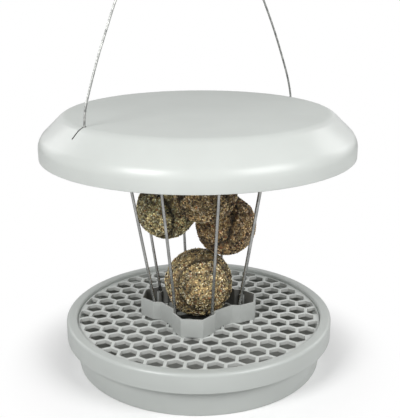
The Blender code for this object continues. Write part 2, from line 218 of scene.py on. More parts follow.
# Distance along the cable's plane and height above the roof's flat top
CABLE_ARCH = (
    (-0.1188, 0.0020), (-0.1172, 0.0140), (-0.1125, 0.0292), (-0.1039, 0.0532),
    (-0.0943, 0.0762), (-0.0842, 0.0992), (-0.0700, 0.1235), (-0.0520, 0.1470),
    (-0.0310, 0.1665), (-0.0120, 0.1768), (0.0020, 0.1786), (0.0160, 0.1750),
    (0.0340, 0.1610), (0.0530, 0.1395), (0.0690, 0.1130), (0.0805, 0.0930),
    (0.0943, 0.0662), (0.1072, 0.0372), (0.1146, 0.0182), (0.1188, 0.0020),
)
roof_low, roof_high = box_of("roof")


def in_cable_plane(distance, height):
    """A point of the upright plane in which the cable lies."""
    return Vector((distance * math.cos(CABLE_AZIMUTH), distance * math.sin(CABLE_AZIMUTH), height))


def smooth_route(points, steps):
    """Points on one smooth curve that passes through every given point."""
    last = len(points) - 1
    # A Bezier handle is a third of the speed, and the speed is half the way between neighbours
    pull = [(points[min(i + 1, last)] - points[max(i - 1, 0)]) / 6 for i in range(last + 1)]
    route = [points[0]]
    for i in range(last):
        start, end = points[i], points[i + 1]
        route += interpolate_bezier(start, start + pull[i], end - pull[i + 1], end, steps + 1)[1:]
    return route


def route_length(route):
    """The length of a chain of points."""
    return sum((b - a).length for a, b in zip(route, route[1:]))


cable_points = [
    in_cable_plane(-CABLE_HOLE_RADIUS, CABLE_END_HEIGHT),
    in_cable_plane(-CABLE_HOLE_RADIUS, SLEEVE_TOP),
    *(in_cable_plane(distance, roof_high.z + height) for distance, height in CABLE_ARCH),
    in_cable_plane(CABLE_HOLE_RADIUS, SLEEVE_TOP),
    in_cable_plane(CABLE_HOLE_RADIUS, CABLE_END_HEIGHT),
]
cable_route = smooth_route(cable_points, ROUTE_STEPS)
cable_length = route_length(cable_route)
print(f"cable: {len(cable_points)} points, {cable_length:.4f} m long")

# %% [markdown]
# ## The twisted cable
#
# A wire rope is six strands laid round each other. Six separate tubes would be
# heavy and would cross where the rope bends. One tube with a six-lobed outline looks
# the same: the outline is a circle whose points are drawn in between the lobes, and a spin
# that also climbs turns it into a straight twisted rope. The rope is then bent along its
# route: each point keeps its place in the cross-section and moves with the route.

# %% Twisted cable
STRANDS = 6
POINTS_PER_STRAND = 5
STRAND_GROOVE = 0.20
TURN_LENGTH = 0.0168
STEPS_PER_TURN = 20


def bend_along(bm, route, side):
    """Bends a straight piece, which stands on the origin, along a route in one plane."""
    marks = [0.0]
    for a, b in zip(route, route[1:]):
        marks.append(marks[-1] + (b - a).length)
    last = len(route) - 1
    heading = [(route[min(i + 1, last)] - route[max(i - 1, 0)]).normalized() for i in range(last + 1)]
    for vert in bm.verts:
        travel = min(max(vert.co.z, 0.0), marks[-1])
        i = min(bisect_right(marks, travel) - 1, last - 1)
        share = (travel - marks[i]) / (marks[i + 1] - marks[i])
        along = heading[i].lerp(heading[i + 1], share).normalized()
        middle = route[i].lerp(route[i + 1], share) + along * (vert.co.z - travel)
        vert.co = middle + side * vert.co.x + along.cross(side) * vert.co.y


bm = bmesh.new()
bmesh.ops.create_circle(bm, segments=STRANDS * POINTS_PER_STRAND, radius=CABLE_DIAMETER / 2)
for vert in bm.verts:
    lobe = 0.5 + 0.5 * math.cos(STRANDS * math.atan2(vert.co.y, vert.co.x))
    vert.co *= 1 - STRAND_GROOVE * (1 - lobe)
turns = cable_length / TURN_LENGTH
steps = round(turns * STEPS_PER_TURN)
bmesh.ops.spin(
    bm, geom=bm.verts[:] + bm.edges[:], cent=(0, 0, 0), axis=(0, 0, 1),
    dvec=(0, 0, cable_length / steps), angle=-math.tau * turns, steps=steps,
)
bmesh.ops.holes_fill(bm, edges=[edge for edge in bm.edges if edge.is_boundary])
bmesh.ops.recalc_face_normals(bm, faces=bm.faces[:])
bend_along(bm, cable_route, in_cable_plane(1, 0).cross(Vector((0, 0, 1))))
keep_corners(bm, sharpest=60)
cable = finished(bm, "twisted_cable", "roof", ["hanging_cable"], cable_steel)

# %% [markdown]
# ## Turned shapes
#
# The sleeves, the tray, the grid's plate and the roof are all round about one axis.
# A Screw modifier could make them, but a spin gives the finished mesh at once. The profile is a
# chain of edges, and a vertex bevel rounds its corners before the spin, which is
# steadier than a bevel on the finished rings of faces.

# %% Turned shapes
TURN_STEPS = 160
BROAD_ROUND = 0.002
BROAD_STEPS = 6
SMALL_STEPS = 3
MERGE_DISTANCE = 1e-6


def turned(corners, steps=TURN_STEPS, closed=False):
    """Spins a profile of (radius, height) or (radius, height, rounding) about the Z axis."""
    bm = bmesh.new()
    chain = [bm.verts.new((corner[0], 0, corner[1])) for corner in corners]
    for a, b in zip(chain, chain[1:]):
        bm.edges.new((a, b))
    if closed:
        bm.edges.new((chain[-1], chain[0]))
    ends = [vert.co.copy() for vert in chain]
    for i, corner in enumerate(corners):
        if len(corner) == 3:
            before, after = ends[i] - ends[i - 1], ends[(i + 1) % len(ends)] - ends[i]
            reach = corner[2] * math.tan(before.angle(after) / 2)
            bmesh.ops.bevel(
                bm, geom=[chain[i]], offset=reach, offset_type="OFFSET", affect="VERTICES",
                segments=BROAD_STEPS if corner[2] > BROAD_ROUND else SMALL_STEPS,
                profile=0.5, material=-1,
            )
    bmesh.ops.spin(
        bm, geom=bm.verts[:] + bm.edges[:], cent=(0, 0, 0), axis=(0, 0, 1),
        angle=math.tau, steps=steps, use_merge=True,
    )
    bmesh.ops.remove_doubles(bm, verts=bm.verts[:], dist=MERGE_DISTANCE)
    bmesh.ops.recalc_face_normals(bm, faces=bm.faces[:])
    return bm


print("profiles are spun in", TURN_STEPS, "steps")

# %% [markdown]
# ## The crimped sleeves
#
# Under the roof each end of the cable sits in a metal sleeve that is too wide for the hole
# above it, so the roof can't slip off. The crimping tool has left three grooves round it.
# They could be pressed in with a boolean, but as dents in the profile they come for free.

# %% Sleeves
SLEEVE_BORE = 0.0013
SLEEVE_ROUND = 0.0007
SLEEVE_STEPS = 32
CRIMP_DEPTH = 0.0005
CRIMP_ROUND = 0.0004
CRIMP_EDGE_ROUND = 0.0003
# Places of the crimps and half the width of one, as shares of the sleeve's height
CRIMPS = (0.25, 0.50, 0.75)
CRIMP_REACH = 0.07

for number in (1, 2):
    low, high = box_of(f"cable_ferrule_{number}")
    outer = (high.x - low.x) / 2
    height = high.z - low.z
    profile = [(SLEEVE_BORE, 0), (outer, 0, SLEEVE_ROUND)]
    for crimp in CRIMPS:
        profile += [
            (outer, height * (crimp - CRIMP_REACH), CRIMP_EDGE_ROUND),
            (outer - CRIMP_DEPTH, height * crimp, CRIMP_ROUND),
            (outer, height * (crimp + CRIMP_REACH), CRIMP_EDGE_ROUND),
        ]
    profile += [(outer, height, SLEEVE_ROUND), (SLEEVE_BORE, height)]
    bm = turned(profile, SLEEVE_STEPS, closed=True)
    foot = ((low.x + high.x) / 2, (low.y + high.y) / 2, low.z)
    bmesh.ops.translate(bm, verts=bm.verts[:], vec=foot)
    keep_corners(bm)
    name = f"crimped_sleeve_{number}"
    finished(bm, name, "roof", [f"cable_ferrule_{number}"], cable_steel)

# %% [markdown]
# ## The ring
#
# At the top of the arch the cable runs through a plain ring of thicker, cleaner wire. A torus
# from the Add menu would do, but bmesh has none, so a small circle is spun once
# about the axis, stood upright and turned across the cable.

# %% Ring
RING_WIRE = 0.003
RING_WIRE_SIDES = 20
RING_STEPS = 72

ring_steel = new_finish("ring_steel", metallic=1.0)
tint_between(
    ring_steel, noise_node(ring_steel, scale=180, detail=3),
    dark=(0.50, 0.50, 0.49), light=(0.64, 0.64, 0.62),
)
gloss_between(ring_steel, noise_node(ring_steel, scale=700, detail=2), low=0.18, high=0.34)
bump_from(ring_steel, noise_node(ring_steel, scale=3500, detail=1), depth=0.00004, strength=0.4)

low, high = box_of("hanging_ring")
ring_radius = (high.z - low.z - RING_WIRE) / 2
bm = bmesh.new()
bmesh.ops.create_circle(
    bm, segments=RING_WIRE_SIDES, radius=RING_WIRE / 2,
    matrix=Matrix.Translation((ring_radius, 0, 0)) @ Matrix.Rotation(math.radians(90), 4, "X"),
)
bmesh.ops.spin(
    bm, geom=bm.verts[:] + bm.edges[:], cent=(0, 0, 0), axis=(0, 0, 1),
    angle=math.tau, steps=RING_STEPS, use_merge=True,
)
bmesh.ops.recalc_face_normals(bm, faces=bm.faces[:])
stand = Matrix.Rotation(CABLE_AZIMUTH, 4, "Z") @ Matrix.Rotation(math.radians(90), 4, "Y")
bmesh.ops.transform(bm, verts=bm.verts[:], matrix=Matrix.Translation((low + high) / 2) @ stand)
keep_corners(bm)
ring = finished(bm, "steel_ring", "roof", ["hanging_ring"], ring_steel)

# %% [markdown]
# ## Where the cable starts
#
# The cable leaves the roof at the first point of its route, which is printed.

print("cable declared from", [round(v, 4) for v in cable_route[0]])

# %% [markdown]
# ## Moulded plastic
#
# Roof, tray, grid and collar are one kind of pale grey satin plastic. A plain grey with one
# roughness looks like paper, so three weak layers are added: a cloudy tint, as melted
# plastic flows, a roughness that wanders, and the fine grain of the mould's skin as a bump.
# One function makes these finishes and the soiled ones further on, because they differ only
# in colour and roughness.

# %% Plastic finishes
CLOUD_DARK = 0.975
CLOUD_LIGHT = 1.015
SMOOTHER = 0.010
ROUGHER = 0.012


def moulded_plastic(name, colour, roughness):
    """Satin plastic: cloudy tint, wandering roughness and a fine moulded grain."""
    material = new_finish(name, metallic=0.0)
    shade = Vector(colour)
    cloud = noise_node(material, scale=22, detail=4)
    tint_between(material, cloud, tuple(shade * CLOUD_DARK), tuple(shade * CLOUD_LIGHT))
    wander = noise_node(material, scale=45, detail=3)
    gloss_between(material, wander, roughness - SMOOTHER, roughness + ROUGHER)
    bump_from(material, noise_node(material, scale=1500, detail=2), depth=0.00005, strength=0.10)
    return material


roof_plastic = moulded_plastic("roof_plastic", (0.555, 0.580, 0.558), 0.29)
tray_plastic = moulded_plastic("tray_plastic", (0.450, 0.473, 0.455), 0.33)
grid_plastic = moulded_plastic("grid_plastic", (0.560, 0.580, 0.560), 0.42)
print("plastics:", roof_plastic.name, tray_plastic.name, grid_plastic.name)

# %% [markdown]
# ## Dust on the flat top
#
# Dust settles only where the roof is level, and there it takes the shine away. A second
# material would end in a hard line. The height above the ground, read from the object
# coordinates, fades the dull roughness in over the last millimetre below the top.

# %% Dusty roof
ROOF_SPECULAR = 0.35
DUST_FADE = 0.0012
DUST_FULL = 0.0001
DUST_DULLNESS = 0.32

nodes, links = roof_plastic.node_tree.nodes, roof_plastic.node_tree.links
shader = nodes["Principled BSDF"]
shader.inputs["Specular IOR Level"].default_value = ROOF_SPECULAR
shine = shader.inputs["Roughness"].links[0].from_socket
place = nodes.new("ShaderNodeTexCoord")
split = nodes.new("ShaderNodeSeparateXYZ")
dust = nodes.new("ShaderNodeMapRange")
dust.inputs["From Min"].default_value = roof_high.z - DUST_FADE
dust.inputs["From Max"].default_value = roof_high.z - DUST_FULL
dust.inputs["To Max"].default_value = DUST_DULLNESS
dulled = nodes.new("ShaderNodeMath")
dulled.operation = "ADD"
links.new(place.outputs["Object"], split.inputs["Vector"])
links.new(split.outputs["Z"], dust.inputs["Value"])
links.new(shine, dulled.inputs[0])
links.new(dust.outputs["Result"], dulled.inputs[1])
links.new(dulled.outputs["Value"], shader.inputs["Roughness"])
print("dust from", round(roof_high.z - DUST_FADE, 4), "m upwards")

# %% [markdown]
# ## The tray
#
# The tray is a bowl with a stepped rim: a ledge inside carries the grid, the rim rolls over it
# and a short skirt hangs down outside. Below the skirt the bowl narrows towards its foot.
# All of this is one profile, so one spin makes it.
# The roundings are given corner by corner, because the soft top of the rim catches a
# bright line of light while the ledge inside stays crisp. The inside of the bowl lies in shade
# under the grid, so the faces there get a second, darker finish that paints that shade.

# %% Tray
CLEARANCE = 0.0003
TRAY_WALL = 0.0024
TRAY_RIM_WIDTH = 0.0103
TRAY_SKIRT = 0.0187
TRAY_BASE_INSET = 0.0125
TRAY_DRAFT = 0.0009
BOWL_TOP_INSET = 0.0050
BOWL_FOOT_INSET = 0.0110
FOOT_STEP = 0.001
FOOT_ROUND = 0.0006
FLOOR_ROUND = 0.005
LEDGE_ROUND = 0.0004
RIM_INNER_ROUND = 0.0016
RIM_OUTER_ROUND = 0.0032
SKIRT_ROUND = 0.0006
UNDER_RIM_ROUND = 0.0010
# The number of a piece's second finish, a darker one that paints shade on faces that lie in shade
PAINTED_SHADE_FINISH = 1

_, tray_high = box_of("tray")
grid_low, grid_high = box_of("seed_grid")
rim = tray_high.x
top = tray_high.z
seat = rim - TRAY_RIM_WIDTH
ledge = grid_low.z - CLEARANCE
inside = rim - TRAY_BASE_INSET - TRAY_WALL
bm = turned([
    (0, TRAY_WALL),
    (inside, TRAY_WALL, FLOOR_ROUND),
    (inside + TRAY_DRAFT, ledge, LEDGE_ROUND),
    (seat, ledge),
    (seat, top, RIM_INNER_ROUND),
    (rim, top, RIM_OUTER_ROUND),
    (rim, top - TRAY_SKIRT, SKIRT_ROUND),
    (rim - TRAY_WALL, top - TRAY_SKIRT, SKIRT_ROUND),
    (rim - TRAY_WALL, top - TRAY_WALL, UNDER_RIM_ROUND),
    (seat + TRAY_WALL, top - TRAY_WALL, UNDER_RIM_ROUND),
    (seat + TRAY_WALL, ledge - TRAY_WALL),
    (rim - BOWL_TOP_INSET, ledge - TRAY_WALL),
    (rim - BOWL_FOOT_INSET, FOOT_STEP, FOOT_ROUND),
    (rim - BOWL_FOOT_INSET - FOOT_STEP, 0, FOOT_ROUND),
    (0, 0),
])
keep_corners(bm)
for face in bm.faces:
    middle = face.calc_center_median()
    within = math.hypot(middle.x, middle.y) < inside + TRAY_DRAFT
    if within and TRAY_WALL / 2 < middle.z < ledge - CLEARANCE:
        face.material_index = PAINTED_SHADE_FINISH
tray = finished(bm, "stepped_tray", "tray", ["tray"], tray_plastic)
# A darker copy of the plastic paints the shade inside the bowl under the grid
tray.data.materials.append(moulded_plastic("tray_inside_painted_shade", (0.270, 0.275, 0.258), 0.60))

# %% [markdown]
# ## Joining and cutting shapes
#
# Grid, collar and roof have holes and sockets, which a boolean joins or cuts. The boolean
# modifier works on objects, so each bmesh becomes a short-lived object and the result comes
# back as a bmesh. The manifold solver is quick and exact on closed shapes.

# %% Cutting one shape with another
def as_object(bm, name):
    """A bmesh as a plain object, for a modifier."""
    mesh = bpy.data.meshes.new(name)
    bm.to_mesh(mesh)
    bm.free()
    shape = bpy.data.objects.new(name, mesh)
    scene.collection.objects.link(shape)
    return shape


def cut(bm, tool, operation):
    """The boolean of two closed bmeshes, as a new bmesh."""
    work, cutter = as_object(bm, "work"), as_object(tool, "cutter")
    modifier = work.modifiers.new("cut", "BOOLEAN")
    modifier.operation = operation
    modifier.solver = "MANIFOLD"
    modifier.object = cutter
    result = bmesh.new()
    result.from_object(work, bpy.context.evaluated_depsgraph_get())
    for shape in (work, cutter):
        mesh = shape.data
        bpy.data.objects.remove(shape)
        bpy.data.meshes.remove(mesh)
    bmesh.ops.remove_doubles(result, verts=result.verts[:], dist=MERGE_DISTANCE)
    bmesh.ops.holes_fill(result, edges=[edge for edge in result.edges if edge.is_boundary])
    return result


def pour(batch, bm):
    """Adds all of one bmesh to another."""
    mesh = bpy.data.meshes.new("batch")
    batch.to_mesh(mesh)
    batch.free()
    bm.from_mesh(mesh)
    bpy.data.meshes.remove(mesh)


def posts(places, radius, low, high, sides=32):
    """Upright closed cylinders at some places."""
    bm = bmesh.new()
    for x, y in places:
        bmesh.ops.create_cone(
            bm, cap_ends=True, segments=sides, radius1=radius, radius2=radius, depth=high - low,
            matrix=Matrix.Translation((x, y, (low + high) / 2)),
        )
    return bm


print("boolean helper ready")

# %% [markdown]
# ## The honeycomb grid
#
# The grid is a disc with a narrow border and a thin web of ribs round six-sided holes.
# The web is thin, so a cell shows a light edge and the dark tray below it. A darker finish
# paints the shade on the walls of the cells, and under the lowest ball a near-black finish paints the
# shadow there.
# A bevel on a finished honeycomb often breaks where two edges meet closely, so the
# soft upper edge is put into the cutter instead: each cutter is a six-sided prism with
# rounded corners that flares a little at the top, and one boolean cuts all cells.

# %% One cell's cutter
CELL_PITCH = 0.0175
CELL_RIB = 0.0029
CELL_ROUND = 0.0006
RIB_ROUND = 0.0002
# How far a cutter reaches past what it cuts
OVERSHOOT = 0.001
FAR_OVERSHOOT = 0.01

cell_width = CELL_PITCH - CELL_RIB
cell_corner = cell_width / math.sqrt(3)
# Depth below the grid's top and growth to each side, from the wall up to the flare
CELL_FLARE = (
    (RIB_ROUND, 0), (0.4 * RIB_ROUND, 0.2 * RIB_ROUND), (0, RIB_ROUND), (-OVERSHOOT, RIB_ROUND),
)


def cell_cutter():
    """A six-sided prism with rounded corners whose top flares out over the ribs."""
    tool = bmesh.new()
    bmesh.ops.create_circle(
        tool, cap_ends=True, segments=6, radius=cell_corner,
        matrix=Matrix.Translation((0, 0, grid_low.z - OVERSHOOT)),
    )
    bmesh.ops.bevel(
        tool, geom=tool.verts[:], offset=CELL_ROUND, offset_type="OFFSET", affect="VERTICES",
        segments=3, profile=0.5, material=-1,
    )
    lid, width, keep = tool.faces[:], cell_width, True
    for below_top, wider in CELL_FLARE:
        raised = bmesh.ops.extrude_face_region(tool, geom=lid, use_keep_orig=keep)["geom"]
        bmesh.ops.delete(tool, geom=[] if keep else lid, context="FACES_ONLY")
        verts = [item for item in raised if isinstance(item, bmesh.types.BMVert)]
        lid = [item for item in raised if isinstance(item, bmesh.types.BMFace)]
        size, keep = (cell_width + 2 * wider) / width, False
        width *= size
        bmesh.ops.scale(tool, verts=verts, vec=(size, size, 1))
        bmesh.ops.translate(tool, verts=verts, vec=(0, 0, grid_high.z - below_top - verts[0].co.z))
    bmesh.ops.recalc_face_normals(tool, faces=tool.faces[:])
    return tool


cutter = cell_cutter()
print("one cell is", round(cell_width, 4), "m wide, its cutter has", len(cutter.faces), "faces")

# %% Honeycomb grid
GRID_BORDER = 0.0012
GRID_EDGE_ROUND = 0.0004
BORDER_LIP = 0.0005
WEB_THICKNESS = 0.0034
PAINTED_SHADOW_RADIUS = 0.036
PAINTED_SHADOW_FINISH = 2
UPRIGHT = 0.3

grid_radius = grid_high.x
field = grid_radius - GRID_BORDER
web = grid_high.z - WEB_THICKNESS


def grid_cells(reach):
    """Centres of the cells within a radius, with one cell on the axis."""
    rows = int(reach / CELL_PITCH) + 2
    cells = []
    for row in range(-rows, rows + 1):
        for column in range(-rows, rows + 1):
            x = (column + (row % 2) / 2) * CELL_PITCH
            y = row * CELL_PITCH * math.sqrt(3) / 2
            if math.hypot(x, y) < reach:
                cells.append((x, y))
    return cells


cells = bmesh.new()
for x, y in grid_cells(field):
    batch = cutter.copy()
    bmesh.ops.translate(batch, verts=batch.verts[:], vec=(x, y, 0))
    pour(batch, cells)
cutter.free()
limit = posts(
    [(0, 0)], field - BORDER_LIP, grid_low.z - FAR_OVERSHOOT, grid_high.z + FAR_OVERSHOOT, TURN_STEPS
)
cells = cut(cells, limit, "INTERSECT")
plate = turned([
    (0, grid_high.z),
    (grid_radius, grid_high.z, GRID_EDGE_ROUND),
    (grid_radius, grid_low.z, GRID_EDGE_ROUND),
    (field, grid_low.z),
    (field, web),
    (0, web),
])
bm = cut(plate, cells, "DIFFERENCE")
keep_corners(bm)
# The middle under the lowest ball gets a painted shadow, the upright cell walls painted shade
for face in bm.faces:
    middle = face.calc_center_median()
    distance = math.hypot(middle.x, middle.y)
    if distance < PAINTED_SHADOW_RADIUS:
        face.material_index = PAINTED_SHADOW_FINISH
    elif abs(face.normal.z) < UPRIGHT and distance < field:
        face.material_index = PAINTED_SHADE_FINISH
grid = finished(bm, "honeycomb_grid", "basket", ["seed_grid"], grid_plastic)
# Two darker copies of the plastic: painted shade in the cells and painted shadow under the ball
grid.data.materials.append(moulded_plastic("cell_walls_painted_shade", (0.420, 0.430, 0.412), 0.60))
grid.data.materials.append(moulded_plastic("painted_shadow_under_ball", (0.050, 0.050, 0.046), 0.50))

# %% [markdown]
# ## The lobed collar
#
# The collar is a thin wall with four flat-faced lobes. At the eight inner shoulders stand the
# sockets of the rods, and four short feet below keep it from turning on the grid.
# One outline, inset by the wall's thickness and extruded upwards, gives the wall; its
# crisp facets come from straight edges, so only the corners get a very small bevel.

# %% Collar
COLLAR_WALL = 0.0019
COLLAR_ROUND = 0.0004
COLLAR_FACE = 0.021
COLLAR_SHOULDER = 0.0075
COLLAR_SOCKET = 0.0027
COLLAR_SOCKET_WALL = 0.0013
ROD_RADIUS = 0.0014
ROD_AZIMUTHS = [math.radians(22.5 + 45 * k) for k in range(8)]
LEVEL_TOLERANCE = 1e-5
CORNER_TURN = 0.2

collar_low, collar_high = box_of("ball_collar")
rod_low, rod_high = box_of("rod_1")
rod_foot = (rod_low.x + ROD_RADIUS) / math.cos(ROD_AZIMUTHS[0])
rod_tip = (rod_high.x - ROD_RADIUS) / math.cos(ROD_AZIMUTHS[0])


def round_places(radius, azimuths):
    """Places on a circle about the axis."""
    return [(radius * math.cos(azimuth), radius * math.sin(azimuth)) for azimuth in azimuths]


foot_x, foot_y = round_places(rod_foot, ROD_AZIMUTHS)[0]
shoulder = foot_y + COLLAR_SOCKET + CLEARANCE
outer = foot_x + COLLAR_SOCKET_WALL / 2
inner = outer - COLLAR_SHOULDER
inner_corner = (shoulder, inner)
lobe = [
    (collar_high.x, -COLLAR_FACE / 2), (collar_high.x, COLLAR_FACE / 2),
    (outer, shoulder), (inner, shoulder), inner_corner, (shoulder, outer),
]
bm = bmesh.new()
corners = []
for quarter in range(4):
    turn = Matrix.Rotation(math.radians(90) * quarter, 2)
    corners += [bm.verts.new((*(turn @ Vector(corner)), collar_low.z)) for corner in lobe]
opening = bm.faces.new(corners)
opening.normal_update()
bmesh.ops.inset_region(
    bm, faces=[opening], thickness=COLLAR_WALL, use_boundary=True, use_even_offset=True,
)
bmesh.ops.delete(bm, geom=[opening], context="FACES_ONLY")
raised = bmesh.ops.extrude_face_region(bm, geom=bm.faces[:], use_keep_orig=True)["geom"]
bmesh.ops.translate(
    bm, verts=[item for item in raised if isinstance(item, bmesh.types.BMVert)],
    vec=(0, 0, collar_high.z - collar_low.z),
)
bmesh.ops.recalc_face_normals(bm, faces=bm.faces[:])
softened = []
for edge in bm.edges:
    highest = max(vert.co.z for vert in edge.verts)
    if highest > collar_high.z - LEVEL_TOLERANCE and edge.calc_face_angle(0) > CORNER_TURN:
        softened.append(edge)
bmesh.ops.bevel(
    bm, geom=softened, offset=COLLAR_ROUND, offset_type="OFFSET", affect="EDGES",
    segments=2, profile=0.5, material=-1,
)
print("collar wall:", len(bm.faces), "faces")

# %% [markdown]
# ## Sockets and feet of the collar
#
# The wall still reaches down to the bottom of the feet all round. Modelling four feet one by
# one would need seams; it is simpler to cut the lower part away everywhere except inside four
# six-sided posts that stand in cells of the grid. Then the bores of the sockets are cut.
# The inner faces lie in shade behind the wall and under the balls, so a second, darker finish paints
# that shade on them.

# %% Sockets and feet of the collar
COLLAR_SOCKET_DROP = 0.0045
COLLAR_SOCKET_FLOOR = 0.0015
COLLAR_FOOT = 0.0081
ROD_BORE = 0.0017
TOP_FACING = 0.5

collar_bottom = grid_high.z + CLEARANCE
rod_feet = round_places(rod_foot, ROD_AZIMUTHS)
sockets = posts(
    rod_feet, COLLAR_SOCKET, collar_bottom - CLEARANCE, collar_high.z - COLLAR_SOCKET_DROP
)
bm = cut(bm, sockets, "UNION")
x, y = min(grid_cells(collar_high.x), key=lambda cell: math.dist(cell, inner_corner))
feet = posts(
    [(sx * x, sy * y) for sx in (1, -1) for sy in (1, -1)],
    COLLAR_FOOT, collar_low.z - 2 * OVERSHOOT, collar_bottom + OVERSHOOT, sides=6,
)
trim = posts(
    [(0, 0)], collar_high.x + COLLAR_FACE, collar_low.z - OVERSHOOT, collar_bottom, sides=64
)
bm = cut(bm, cut(trim, feet, "DIFFERENCE"), "DIFFERENCE")
bores = posts(rod_feet, ROD_BORE, collar_bottom + COLLAR_SOCKET_FLOOR, collar_high.z + FAR_OVERSHOOT)
bm = cut(bm, bores, "DIFFERENCE")
keep_corners(bm, sharpest=30)
# Inward faces take the darker second finish, which paints the shade inside the collar
for face in bm.faces:
    outward = face.calc_center_median() * Vector((1, 1, 0))
    if face.normal.z < TOP_FACING and face.normal.dot(outward) < 0:
        face.material_index = PAINTED_SHADE_FINISH
# The collar's plastic is a darker copy of the grid's: painted shade under the roof
collar_plastic_painted_shade = moulded_plastic("collar_plastic_painted_shade", (0.395, 0.410, 0.395), 0.40)
collar = finished(bm, "lobed_collar", "basket", ["ball_collar"], collar_plastic_painted_shade)
collar.data.materials.append(moulded_plastic("collar_inside_painted_shade", (0.150, 0.150, 0.140), 0.50))

# %% [markdown]
# ## The rods
#
# Eight rods rise from the collar, lean outwards and straighten again in the sockets of the
# roof. They are dull drawn steel that looks dark along its edges: a metal mirrors
# most at a glancing angle, and a dark specular tint takes that bright edge away. A rod is a
# cylinder with softened ends, cut into short lengths so that it can follow a bend, and the
# helper that bent the cable bends it too.

# %% Rod finish
rod_metal = new_finish("rod_metal", metallic=1.0)
rod_shader = rod_metal.node_tree.nodes["Principled BSDF"]
rod_shader.inputs["Specular Tint"].default_value = (0.12, 0.12, 0.12, 1)
tint_between(
    rod_metal, noise_node(rod_metal, scale=120, detail=3),
    dark=(0.33, 0.333, 0.326), light=(0.46, 0.463, 0.452),
)
gloss_between(rod_metal, noise_node(rod_metal, scale=420, detail=2), low=0.22, high=0.34)
bump_from(rod_metal, noise_node(rod_metal, scale=4000, detail=2), depth=0.00004, strength=0.4)
print("rod nodes:", len(rod_metal.node_tree.nodes))

# %% Rods
ROD_BEND = 0.020
ROD_BEND_STEPS = 6
ROD_SIDES = 20
ROD_CUTS = 90
ROD_END_ROUND = 0.0004
SOCKET_DEPTH = 0.0125
ROOF_WALL = 0.0023

roof_underside = roof_high.z - ROOF_WALL
roof_socket_bottom = roof_underside - SOCKET_DEPTH


def rod_route(azimuth):
    """The rod's middle line, with its two bends rounded."""
    bm = bmesh.new()
    heights = (rod_low.z, collar_high.z + ROD_RADIUS, roof_socket_bottom - ROD_RADIUS, rod_high.z)
    radii = (rod_foot, rod_foot, rod_tip, rod_tip)
    chain = [bm.verts.new((*round_places(r, [azimuth])[0], z)) for r, z in zip(radii, heights)]
    for a, b in zip(chain, chain[1:]):
        bm.edges.new((a, b))
    turn = (chain[2].co - chain[1].co).angle(Vector((0, 0, 1)))
    bmesh.ops.bevel(
        bm, geom=chain[1:3], offset=ROD_BEND * math.tan(turn / 2), offset_type="OFFSET",
        affect="VERTICES", segments=ROD_BEND_STEPS, profile=0.5, material=-1,
    )
    route = sorted((vert.co.copy() for vert in bm.verts), key=lambda point: point.z)
    bm.free()
    return route


def uprights(bm, length):
    """The long edges of a cylinder, which run from its foot to its tip."""
    return [edge for edge in bm.edges if abs(edge.verts[0].co.z - edge.verts[1].co.z) > length / 2]


for number, azimuth in enumerate(ROD_AZIMUTHS, 1):
    route = rod_route(azimuth)
    length = route_length(route)
    bm = posts([(0, 0)], ROD_RADIUS, 0, length, ROD_SIDES)
    sides = set(uprights(bm, length))
    rims = [edge for edge in bm.edges if edge not in sides]
    bmesh.ops.bevel(
        bm, geom=rims, offset=ROD_END_ROUND, offset_type="OFFSET", affect="EDGES",
        segments=3, profile=0.5, material=-1,
    )
    bmesh.ops.subdivide_edges(bm, edges=uprights(bm, length), cuts=ROD_CUTS, use_grid_fill=True)
    bend_along(bm, route, Vector((-math.sin(azimuth), math.cos(azimuth), 0)))
    keep_corners(bm, sharpest=50)
    finished(bm, f"bent_rod_{number}", "basket", [f"rod_{number}"], rod_metal)

# %% [markdown]
# ## The roof
#
# The roof is a shallow round cap: a flat top, a sloping shoulder and an upright rim, with
# broad roundings between them that carry long soft highlights. A subdivision surface
# would round everything alike; a profile gives each crease its own radius. The inner
# corners are set back so that the wall is equally thick all the way.

# %% Roof shell
ROOF_SHOULDER = 0.0231
ROOF_RIM = 0.0162
ROOF_RIM_ROUND = 0.015
ROOF_CREASE_ROUND = 0.012
ROOF_EDGE_ROUND = 0.0007

roof_radius = roof_high.x
flat_radius = roof_radius - ROOF_SHOULDER
rim_top = roof_low.z + ROOF_RIM
slope = math.atan2(roof_high.z - rim_top, ROOF_SHOULDER)
inner_flat = flat_radius - ROOF_WALL * math.tan(slope / 2)
inner_rim_top = rim_top - ROOF_WALL * math.tan((math.pi / 2 - slope) / 2)
shell = turned([
    (0, roof_high.z),
    (flat_radius, roof_high.z, ROOF_CREASE_ROUND),
    (roof_radius, rim_top, ROOF_RIM_ROUND),
    (roof_radius, roof_low.z, ROOF_EDGE_ROUND),
    (roof_radius - ROOF_WALL, roof_low.z, ROOF_EDGE_ROUND),
    (roof_radius - ROOF_WALL, inner_rim_top, ROOF_RIM_ROUND - ROOF_WALL),
    (inner_flat, roof_underside, ROOF_CREASE_ROUND - ROOF_WALL),
    (0, roof_underside),
])
print("roof slope", round(math.degrees(slope), 1), "degrees,", len(shell.faces), "faces")

# %% [markdown]
# ## Sockets and keyholes of the roof
#
# Below the roof are eight sockets for the rods and two pads for the sleeves. In the shoulder two
# keyholes let the cable in: a round hole and a narrow slot that runs outwards from it.
# Sockets and pads are joined first and the holes cut last, so that every hole goes through.
# The keyholes lie in shade, so their walls get a dark finish of their own that paints that shade.

# %% Sockets and keyholes of the roof
SOCKET_OUTER = 0.0035
CABLE_HOLE = 0.0017
PAD_RADIUS = 0.0039
PAD_OVERLAP = 0.0006
SLOT_WIDTH = 0.0018
SLOT_LENGTH = 0.0125
SLOT_SIDES = 24
# The slot's cutter is taller than the roof is thick, and its middle lies below the top
SLOT_CUTTER_HEIGHT = 0.03
SLOT_CUTTER_DROP = 0.010

